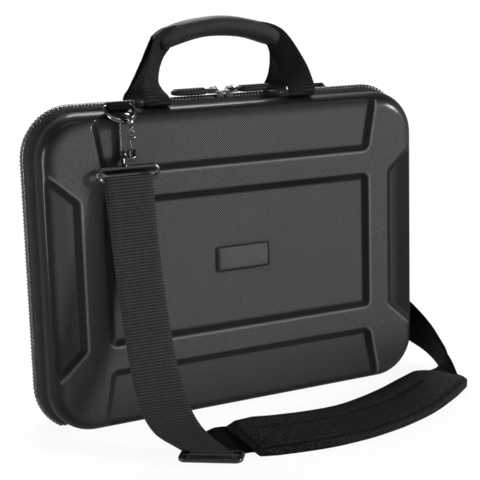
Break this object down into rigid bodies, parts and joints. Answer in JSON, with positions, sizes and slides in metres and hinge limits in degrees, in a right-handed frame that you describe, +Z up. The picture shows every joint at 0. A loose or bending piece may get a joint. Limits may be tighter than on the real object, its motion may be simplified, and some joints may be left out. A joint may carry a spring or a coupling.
{
  "type": "laptop briefcase",
  "caption": "Moulded hard-shell laptop briefcase with a framed face, zip closure, padded carrying handle and a clip-on padded shoulder strap.",
  "frame": {"origin": "middle of the case's footprint, on the floor it stands on, in the plane of the zip", "axes": "+X to the right along the case's width, +Y from the front face to the back, +Z up"},
  "size_m": [0.387, 0.2203, 0.3185],
  "materials": {
    "shell": "satin",
    "lining": "matte",
    "zip_tape": "matte",
    "zip_teeth": "satin",
    "badge": "satin",
    "slider": "satin",
    "bridge": "polished",
    "pull": "matte",
    "webbing": "matte",
    "grip": "matte",
    "hardware": "gloss",
    "adjuster": "gloss",
    "pad": "matte"
  },
  "bodies": {
    "front_half": {"front_shell": "shell", "front_lining": "lining", "front_zip_tape": "zip_tape", "front_zip_teeth": "zip_teeth", "badge": "badge", "front_handle_tabs": "webbing", "left_ring_tab": "webbing", "spine_gusset": "zip_tape", "strap_left_run": "webbing", "adjuster": "adjuster", "strap_link": "webbing", "shoulder_pad": "pad", "strap_right_run": "webbing"},
    "back_half": {"back_shell": "shell", "back_lining": "lining", "back_zip_tape": "zip_tape", "back_zip_teeth": "zip_teeth", "back_handle_tabs": "webbing", "right_ring_tab": "webbing"},
    "handle_front": {"front_handle_webbing": "webbing", "front_grip": "grip"},
    "handle_back": {"back_handle_webbing": "webbing", "back_grip": "grip"},
    "slider_left": {"left_slider": "slider", "left_bridge": "bridge"},
    "slider_right": {"right_slider": "slider", "right_bridge": "bridge"},
    "pull_left": {"left_pull": "pull"},
    "pull_right": {"right_pull": "pull"},
    "ring_left": {"left_d_ring": "hardware", "left_strap_loop": "hardware"},
    "ring_right": {"right_d_ring": "hardware", "right_strap_loop": "hardware"},
    "hook_left": {"left_hook": "hardware"},
    "hook_right": {"right_hook": "hardware"},
    "gate_left": {"left_gate": "hardware"},
    "gate_right": {"right_gate": "hardware"}
  },
  "joints": [
    {"name": "lid_open", "type": "hinge", "parent": "front_half", "child": "back_half", "pos_m": [0, 0.019, 0.014], "axis": [-1, 0, 0], "range_deg": [0, 70], "deforming": ["spine_gusset", "strap_right_run"]},
    {"name": "slider_left_travel", "type": "slide", "parent": "front_half", "child": "slider_left", "axis": [-1, 0, 0], "range_m": [0, 0.088]},
    {"name": "slider_right_travel", "type": "slide", "parent": "front_half", "child": "slider_right", "axis": [1, 0, 0], "range_m": [0, 0.088]},
    {"name": "pull_left_lift", "type": "hinge", "parent": "slider_left", "child": "pull_left", "pos_m": [-0.0074, 0, 0.2593], "axis": [0, 1, 0], "range_deg": [0, 115]},
    {"name": "pull_right_lift", "type": "hinge", "parent": "slider_right", "child": "pull_right", "pos_m": [0.0074, 0, 0.2593], "axis": [0, -1, 0], "range_deg": [0, 115]},
    {"name": "handle_front_fold", "type": "hinge", "parent": "front_half", "child": "handle_front", "pos_m": [0, -0.015, 0.2542], "axis": [1, 0, 0], "range_deg": [0, 85]},
    {"name": "handle_back_fold", "type": "hinge", "parent": "back_half", "child": "handle_back", "pos_m": [0, 0.015, 0.2542], "axis": [-1, 0, 0], "range_deg": [0, 85]},
    {"name": "ring_left_swing", "type": "hinge", "parent": "front_half", "child": "ring_left", "pos_m": [-0.102, -0.0235, 0.2532], "axis": [-1, 0, 0], "range_deg": [0, 35], "deforming": ["strap_left_run"]},
    {"name": "ring_right_swing", "type": "hinge", "parent": "back_half", "child": "ring_right", "pos_m": [0.102, 0.0235, 0.2532], "axis": [1, 0, 0], "range_deg": [0, 35]},
    {"name": "hook_left_swivel", "type": "hinge", "parent": "ring_left", "child": "hook_left", "pos_m": [-0.102, -0.0387, 0.2415], "axis": [0, 0, 1], "range_deg": [-10, 10]},
    {"name": "hook_right_swivel", "type": "hinge", "parent": "ring_right", "child": "hook_right", "pos_m": [0.102, 0.0387, 0.2415], "axis": [0, 0, 1], "range_deg": [-10, 10]},
    {"name": "gate_left_press", "type": "hinge", "parent": "hook_left", "child": "gate_left", "pos_m": [-0.102, -0.0451, 0.2205], "axis": [-1, 0, 0], "range_deg": [0, 22], "stiffness_Nm_per_rad": 0.05, "springref_deg": -11.46},
    {"name": "gate_right_press", "type": "hinge", "parent": "hook_right", "child": "gate_right", "pos_m": [0.102, 0.0451, 0.2205], "axis": [1, 0, 0], "range_deg": [0, 22], "stiffness_Nm_per_rad": 0.05, "springref_deg": -11.46}
  ]
}
